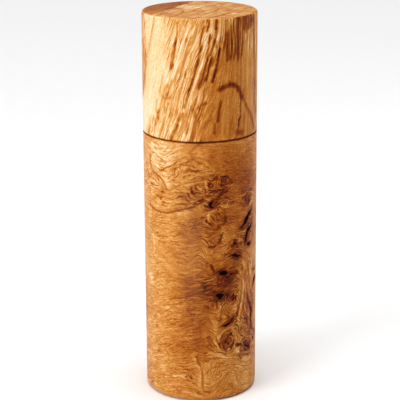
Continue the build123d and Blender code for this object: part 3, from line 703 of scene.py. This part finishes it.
def turned_faces(outline, columns):
    """Which points of a turned grid are kept, and the faces between them. A row on the axis becomes one
    vertex with triangles round it. An outline that stays off the axis closes on itself."""
    on_axis = outline[:, 0] == 0
    kept = np.ones((len(outline), columns), bool)
    kept[on_axis, 1:] = False
    number = np.cumsum(kept).reshape(kept.shape) - 1
    number[on_axis] = number[on_axis, :1]
    rows = number if on_axis.any() else np.vstack([number, number[:1]])
    faces = []
    for row, first, last in zip(grid_quads(rows), rows[:-1, :2], rows[1:, :2]):
        if first[0] == first[1]:
            row = row[:, [0, 2, 3]]
        elif last[0] == last[1]:
            row = row[:, :3]
        faces += row.tolist()
    return kept.ravel(), faces


print("grid to mesh ready")

# %% The two turnings
POCKET_DEPTH = 1.1
CRACK_DEPTH = 0.1
SEAM_SHADE = 0.5
# mm from the middle of the seam: where its shade begins, and where it is full
SEAM_NEAR = (0.62, 0.2)
CROWN_CONTRAST = 0.9
# a painted sheen down the front of the body, where the key light's broad reflection falls: degrees, height,
# half width, half height
PAINTED_SHEEN_STRIPE = (-11, 86, 8, 42)


def turned_piece(name, outline, columns, layers, noise_rise):
    """Carry an outline round the axis: x is radius times the sine of the angle, y minus radius times its
    cosine. Open marks press the surface in along its normal."""
    radius, rise, out, up, outside, lid = (np.repeat(v, columns) for v in outline.T)
    turn = np.tile(np.arange(columns) * 2 * np.pi / columns - np.pi, len(outline))
    points = np.column_stack([radius * np.sin(turn), -radius * np.cos(turn), rise])
    grain, tone, contrast, lively = layers(points, turn, rise)
    side = outside * (1 - lid) > 0.5
    pocket = np.where(side, open_marks(points, turn, rise, POCKETS, fray=0.5), NO_MARK)
    crack = np.where(side, open_marks(points, turn, rise, CRACKS, fray=0.8), NO_MARK)
    press = POCKET_DEPTH * smooth(-0.1, 0.8, pocket) + CRACK_DEPTH * smooth(0, 0.4, crack)
    points -= press[:, None] * np.column_stack([out * np.sin(turn), -out * np.cos(turn), up])

    crown, end_tone = crown_figure(points)
    on_lid = lid > 0.5
    tone = np.where(on_lid, end_tone, tone)
    tone -= SEAM_SHADE * outside * smooth(*SEAM_NEAR, np.abs(rise - SEAM_HEIGHT))
    values = {
        "grain": grain, "crown": crown, "lid": lid, "tone": tone, "lively": lively,
        "contrast": np.where(on_lid, CROWN_CONTRAST, contrast), "stretch": np.where(on_lid, 1, noise_rise),
        "pocket": pocket, "crack": crack, "raw": 1 - outside, "faded": blob(turn, rise, *PAINTED_SHEEN_STRIPE),
    }
    kept, faces = turned_faces(outline, columns)
    piece = new_piece(name, points[kept], faces, True)
    for key, value in values.items():
        attribute = piece.data.attributes.new(key, "FLOAT", "POINT")
        attribute.data.foreach_set("value", value[kept].astype(np.float32))
    piece.data.update()
    triangles = sum(len(face) - 2 for face in faces)
    print(name, triangles, "triangles, deepest mark", round(press.max(), 2), "mm")
    return piece


turned_body = turned_piece("turned_body", body_outline, 308, body_figure, noise_rise=1.0)
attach(turned_body, "body")
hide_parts("mill_body")

turned_head = turned_piece("turned_head", head_outline, 352, head_figure, noise_rise=0.13)
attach(turned_head, "head")
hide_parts("mill_head")

# %% [markdown]
# ## Oiled burl
# The growth height at each point now becomes colour. Noise that is stretched along the layers gives
# streaks of four widths, from broad bands to hairs. Thin dark lines mark the ends of light bands, and the
# tone that comes out picks its colour from a ramp of burl browns. Pockets go nearly black, and their rims
# brown. A stripe down the front is painted lighter and greyer, a painted sheen where the key light's broad
# reflection falls. The oil leaves a satin sheen outside. The bores are left raw, in a darker brown that is
# partly painted shade inside the seam gap and the bores.

# %% Burl streaks
burl_wood, wire = new_finish("burl_wood")


def vertex_value(name):
    """A number that every vertex of the piece carries."""
    return wire.node("Attribute", {"attribute_name": name}, None, "Fac")


place = wire.place()
NOISE_SPREAD = 2.4


def cloud(size_mm):
    """Plain noise of that size, centred on zero."""
    return (place.noise(size_mm) - 0.5) * NOISE_SPREAD


lid = vertex_value("lid")
lid = lid.math("GREATER_THAN", lid, 0.5)
grain = vertex_value("grain")
stretch = vertex_value("stretch")
layer = grain + (vertex_value("crown") - grain) * lid + cloud(1.6) * 0.16 * stretch
level_way = 1 - lid * 0.6
long_way = wire.node("CombineXYZ", None, {"X": level_way, "Y": level_way, "Z": stretch})
drawn = place.stretched(long_way)


def streak(length_mm, width_mm, shift):
    """Noise that is long along the layers and narrow across them: its fourth axis is the growth height."""
    scale = 1000 / length_mm
    fourth = layer * (1 / (width_mm * scale)) + shift / scale
    sockets = {"Vector": drawn, "W": fourth, "Scale": scale, "Detail": 1.0}
    return (wire.node("TexNoise", {"noise_dimensions": "4D"}, sockets) - 0.5) * NOISE_SPREAD


broad = streak(11, 1.6, 0.0)
middle = streak(5, 0.7, 31.0)
thin = streak(2.5, 0.36, 57.0)
hair = streak(1.5, 0.17, 83.0)
mottle = cloud(0.9)
contrast = vertex_value("contrast")
streaks = 0.16 * broad + 0.24 * middle + 0.22 * thin + 0.06 * hair
tone = vertex_value("tone") + contrast * streaks + 0.08 * mottle + 0.08 * hair + 0.03 * thin
ridge = broad + 0.35 * middle + 0.15 * thin
patchy = cloud(6).step(-0.35, 0.3)
line = (ridge - 0.06).bell(0.08) * patchy
tone = tone + contrast * (0.12 * patchy * (ridge + 0.12).bell(0.1) - 0.3 * line)
curls = (0.0 - middle - 0.4 * thin).step(0.1, 0.45)
tone = tone - curls * vertex_value("lively") * 0.5
print("streaks of 4 widths")

# %% Burl colours and gloss
BURL_STOPS = [
    (0.0, srgb(40, 6, 0)), (0.2, srgb(98, 30, 1)), (0.4, srgb(152, 70, 7)), (0.55, srgb(189, 111, 35)),
    (0.7, srgb(218, 152, 74)), (0.85, srgb(241, 198, 140)), (1.0, srgb(253, 234, 206)),
]
fray = mottle * 0.25 + middle * 0.35
pocket = vertex_value("pocket") + fray
crack = vertex_value("crack") + fray * 0.4
stain = pocket.step(-0.9, 0.05) * 0.8
stain = stain.math("MAXIMUM", stain, crack.step(-0.45, 0.1) * 0.75)
rim = pocket.step(-0.3, 0.2) * 0.9
rim = rim.math("MAXIMUM", rim, crack.step(-0.12, 0.3) * 0.75)
hollow = pocket.step(0.0, 0.4)
colour = wire.node("ValToRGB", {"stops": BURL_STOPS}, {"Fac": tone - pocket.step(-2.6, 0.0) * 0.14})
raw = vertex_value("raw")
# painted sheen: the front stripe is mixed towards a light beige where the key light's broad reflection falls
colour = (vertex_value("faded") * 0.17).mix(colour, srgb(200, 156, 102))
colour = stain.mix(colour, srgb(130, 48, 5))
colour = hollow.mix(rim.mix(colour, srgb(74, 18, 1)), srgb(14, 4, 1))
colour = (lid * 0.22).mix(colour, srgb(196, 150, 114))
# raw inner wood: a darker brown, partly its own colour and partly painted shade inside the seam gap and the
# bores
colour = (raw * 0.6).mix(colour, srgb(132, 82, 40))
shine = (1 - raw) * (1 - rim)
relief = thin * 0.5 + hair * 0.5 - line * 0.8
normal = relief.bump(0.12, 0.4)
set_surface(wire, {
    "Base Color": colour,
    "Roughness": 0.62 - shine * 0.22 + thin * 0.05,
    "Specular IOR Level": 0.05,
    "Coat Weight": shine * 0.04,
    "Coat Roughness": 0.2,
    "Normal": normal,
})
for piece in (turned_body, turned_head):
    piece.data.materials.append(burl_wood)
print("burl finish:", len(burl_wood.node_tree.nodes), "nodes")

# %% [markdown]
# ## Moulded parts of the grinder
# The housing, its retainer, the bridge, the carrier, the knob and the drive socket are injection moulded in
# dark plastic. The mould is spark eroded, which leaves an even, fine and slightly matt grain, and the
# plastic keeps faint clouds from the way it flowed in. A flat black would lose all their edges, so the
# grain also changes the gloss a little. A trace of ground pepper clings to the parts near the burr.


# %% Plastic finishes
def dress(material, *names):
    """Give CAD nodes that finish in place of the plain colour they came with."""
    for name in names:
        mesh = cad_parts[name].data
        mesh.materials.clear()
        mesh.materials.append(material)


def moulded_plastic(name, colour, dust):
    """Dark plastic: clouds of two tones, an eroded grain, and specks of pepper where noise passes a level."""
    material, wire = new_finish(name)
    place = wire.place()
    eroded = place.noise(0.22, 2.0)
    flow = place.noise(7.0).step(0.3, 0.7)
    specks = place.noise(0.55, 2.0).step(0.62, 0.7) * place.noise(5.0).step(0.4, 0.7) * dust
    base = specks.mix(flow.tones(colour, 0.8, 1.25), srgb(128, 104, 78))
    normal = (eroded + specks).bump(0.3, 0.04)
    roughness = 0.34 + eroded * 0.2 + specks * 0.3
    set_surface(wire, {"Base Color": base, "Roughness": roughness, "Normal": normal})
    return material


housing_plastic = moulded_plastic("housing_plastic", (0.045, 0.042, 0.04), 0.5)
dress(housing_plastic, "grinder_housing", "burr_retainer", "shaft_bridge")
dress(moulded_plastic("carrier_plastic", (0.09, 0.085, 0.08), 0.6), "rotor_carrier")
dress(moulded_plastic("knob_plastic", (0.06, 0.056, 0.052), 0.15), "adjuster_knob")
dress(moulded_plastic("socket_plastic", (0.07, 0.066, 0.062), 0.2), "drive_socket")
print("plastic finishes on 6 parts")

# %% [markdown]
# ## Ceramic burr and nylon washers
# The two burr rings are pressed and fired ceramic: warm white, a little porous, with a brown bloom that
# pepper oil leaves in patches. The thrust washers are cut from nylon sheet, whiter and more waxy.

# %% Ceramic and nylon
burr_ceramic, wire = new_finish("burr_ceramic")
place = wire.place()
pores = place.noise(0.3, 3.0)
bloom = place.noise(3.5, 3.0).step(0.48, 0.75)
fired = pores.step(0.3, 0.6).tones((0.83, 0.81, 0.76), 0.93, 1.05)
normal = pores.bump(0.25, 0.05)
set_surface(wire, {
    "Base Color": (bloom * 0.45).mix(fired, srgb(176, 142, 100)),
    "Roughness": 0.36 + pores * 0.2 + bloom * 0.15,
    "Normal": normal,
})
dress(burr_ceramic, "stator_burr", "rotor_burr")

washer_nylon, wire = new_finish("washer_nylon")
place = wire.place()
haze = place.noise(2.0, 2.0)
set_surface(wire, {
    "Base Color": haze.step(0.3, 0.7).tones((0.80, 0.78, 0.72), 0.92, 1.04),
    "Roughness": 0.32 + haze * 0.2,
    "Subsurface Weight": 0.1,
    "Subsurface Radius": (0.001, 0.001, 0.0008),
})
dress(washer_nylon, "thrust_washers")
print("ceramic on 2 parts, nylon on 1")

# %% [markdown]
# ## Spring and nut of the adjuster
# Two small parts are drawn anew, because of how they move. The burr spring shortens in the real mill when
# the burr is raised, but here it is a wire on a helix of even pitch that rides with the spindle. The nut
# turns under the carrier, so its top stays a hair below that. A cone has cut back its six corners at both
# ends, as on any turned nut.

# %% Burr spring and knob nut
COIL_RADIUS = 4.734
COIL_START = 24.1
COIL_PITCH = 1.6
COIL_TURNS = 5
WIRE_RADIUS = 0.45
NUT_BOTTOM = 6.0
NUT_TOP = 9.97
NUT_FLAT = 4.0
NUT_BORE = 2.55
NUT_CONE = 3.95
NUT_LEAD = 0.2


def wrapped_grid(name, points, ring):
    """A mesh on a grid of points in mm whose columns wrap round. The rows of a ring wrap round too, and
    otherwise a flat cap closes each end."""
    rows, columns, _ = points.shape
    number = np.arange(rows * columns).reshape(rows, columns)
    if ring:
        number = np.vstack([number, number[:1]])
    faces = grid_quads(number).reshape(-1, 4).tolist()
    if not ring:
        faces += [number[0, ::-1].tolist(), number[-1].tolist()]
    print(name, rows * columns, "vertices")
    return new_piece(name, points.reshape(-1, 3), faces, not ring)


def coil_points(steps_per_turn, sides):
    """Points of a wire on a helix: its centre goes round at one radius and climbs one pitch a turn. Each ring
    of the wire lies in the plane of the radius and of the upright that leans with the climb."""
    turn = 2 * np.pi * np.linspace(0, COIL_TURNS, COIL_TURNS * steps_per_turn + 1)[:, None, None]
    side = -2 * np.pi * np.arange(sides)[None, :, None] / sides
    away = np.concatenate([np.cos(turn), np.sin(turn), np.zeros_like(turn)], -1)
    ahead = np.concatenate([-np.sin(turn), np.cos(turn), np.zeros_like(turn)], -1)
    climb = math.atan2(COIL_PITCH, 2 * np.pi * COIL_RADIUS)
    upright = np.array([0, 0, math.cos(climb)]) - math.sin(climb) * ahead
    centre = COIL_RADIUS * away + (COIL_START + COIL_PITCH * turn / (2 * np.pi)) * np.array([0, 0, 1])
    return centre + WIRE_RADIUS * (np.cos(side) * away + np.sin(side) * upright)


def nut_points(columns):
    """Points of a hexagonal nut: eight rings round its wall. A flat's distance over the cosine of the angle
    from its middle is the radius there, and the cone takes off what lies outside it at both ends."""
    turn = 2 * np.pi * np.arange(columns) / columns
    off_flat = (turn % (np.pi / 3)) - np.pi / 6
    wide = NUT_FLAT / np.cos(off_flat)
    cut = (wide - NUT_CONE) * math.tan(math.radians(30))
    rings = [
        (NUT_BORE + NUT_LEAD, NUT_BOTTOM), (NUT_CONE, NUT_BOTTOM), (wide, NUT_BOTTOM + cut),
        (wide, NUT_TOP - cut), (NUT_CONE, NUT_TOP), (NUT_BORE + NUT_LEAD, NUT_TOP),
        (NUT_BORE, NUT_TOP - NUT_LEAD), (NUT_BORE, NUT_BOTTOM + NUT_LEAD),
    ]
    level = np.ones(columns)
    radius, height = (np.array([value * level for value in values]) for values in zip(*rings))
    return np.stack([radius * np.cos(turn), radius * np.sin(turn), height], -1)


burr_coil = wrapped_grid("burr_coil", coil_points(steps_per_turn=60, sides=18), ring=False)
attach(burr_coil, "spindle")
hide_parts("burr_spring")
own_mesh(burr_coil)

hex_nut = wrapped_grid("hex_nut", nut_points(columns=96), ring=True)
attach(hex_nut, "knob")
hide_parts("knob_nut")

# %% [markdown]
# ## Worked metal
# Every metal part keeps the marks of how it was made. The shaft is drawn bar, with lines along it. The
# plate is brushed one way. Brass bush, nut and pressed cups are turned, so their lines are rings round the
# axis: the pattern is read from the radius and the height instead of x, y and z. Springs and screws are
# small, and only show faint scuffs and cloudy tones.


# %% Metal finishes
BRASS = (0.72, 0.52, 0.22)


def worked_metal(name, colour, roughness, stretch=None):
    """Metal with fine lines: noise on coordinates that are squeezed along the lines, or on the radius and
    height for turned parts. Slow clouds change the colour a little."""
    material, wire = new_finish(name)
    place = wire.place()
    if stretch:
        marks = place.stretched(stretch)
    else:
        flat = place.stretched((1, 1, 0))
        radius = wire.node("VectorMath", {"operation": "LENGTH"}, {0: flat}, "Value")
        height = wire.node("SeparateXYZ", None, {"Vector": place}, "Z")
        marks = wire.node("CombineXYZ", None, {"X": radius, "Y": height})
    lines = marks.noise(0.18, 2.0)
    clouds = place.noise(3.0, 2.0)
    normal = lines.bump(0.2, 0.03)
    base = clouds.step(0.3, 0.7).tones(colour, 0.86, 1.08)
    gloss = (lines - 0.5) * 0.3 + clouds * 0.1 + roughness
    set_surface(wire, {"Base Color": base, "Metallic": 1.0, "Roughness": gloss, "Normal": normal})
    return material


dress(worked_metal("shaft_steel", (0.60, 0.60, 0.60), 0.26, (1, 1, 0.02)), "drive_shaft")
dress(worked_metal("plate_aluminium", (0.74, 0.74, 0.75), 0.32, (0.03, 1, 1)), "drive_plate")
dress(worked_metal("bush_brass", BRASS, 0.28), "shaft_bush")
hex_nut.data.materials.append(worked_metal("nut_brass", BRASS, 0.3))
dress(worked_metal("cup_steel", (0.58, 0.58, 0.58), 0.3), "upper_spring_cup", "lower_spring_cup")
spring_steel = worked_metal("spring_steel", (0.52, 0.52, 0.53), 0.3, (1, 1, 0.3))
dress(spring_steel, "shaft_clips", "catch_spring")
burr_coil.data.materials.append(spring_steel)
dress(worked_metal("screw_steel", (0.55, 0.55, 0.56), 0.33, (1, 1, 1)), "housing_screws", "plate_screws")
print("metal finishes on 11 parts")

# %% [markdown]
# ## Studio
# A pale floor and large soft lights: a broad key on the left, a narrow box behind on the right that draws
# a thin light edge down the dark side, a weak fill beside it, and a dome overhead. The dome is a sun lamp
# with a disc 40 degrees wide, so it whitens the floor evenly on all sides and leaves only a faint shadow.
# The boxes end well above the floor, or they would draw a hard line on it.


# %% Floor, lights and world
def softbox(name, place, size, watts):
    """A rectangular area light that faces the middle of the mill."""
    light = bpy.data.lights.new(name, "AREA")
    light.shape = "RECTANGLE"
    light.size, light.size_y = size
    light.energy = watts
    lamp = bpy.data.objects.new(name, light)
    facing = (Vector(MILL_MIDDLE) - Vector(place)).to_track_quat("-Z", "Y")
    lamp.matrix_world = Matrix.Translation(place) @ facing.to_matrix().to_4x4()
    scene.collection.objects.link(lamp)


softbox("key", (-0.9, -0.75, 0.7), (0.7, 0.9), 10.8)
dome = bpy.data.lights.new("dome", "SUN")
dome.angle = math.radians(40)
dome.energy = 2.8
scene.collection.objects.link(bpy.data.objects.new("dome", dome))
softbox("edge", (0.7, 0.35, 0.4), (0.2, 0.5), 0.65)
softbox("fill", (1.0, -0.3, 0.5), (0.5, 0.5), 1.0)

world = bpy.data.worlds.new("studio")
world.use_nodes = True
background = world.node_tree.nodes["Background"].inputs
background["Color"].default_value = (1, 1, 1, 1)
background["Strength"].default_value = 0.08
scene.world = world

FLOOR_REACH = 30.0
floor_mesh = bpy.data.meshes.new("floor")
floor_corners = [(FLOOR_REACH * x, FLOOR_REACH * y, 0) for x, y in ((-1, -1), (1, -1), (1, 1), (-1, 1))]
floor_mesh.from_pydata(floor_corners, [], [(0, 1, 2, 3)])
floor = bpy.data.objects.new("floor", floor_mesh)
scene.collection.objects.link(floor)
pale_floor, wire = new_finish("pale_floor")
set_surface(wire, {"Base Color": (0.9, 0.9, 0.9, 1), "Roughness": 0.8})
floor_mesh.materials.append(pale_floor)
print("studio: 4 soft lights")
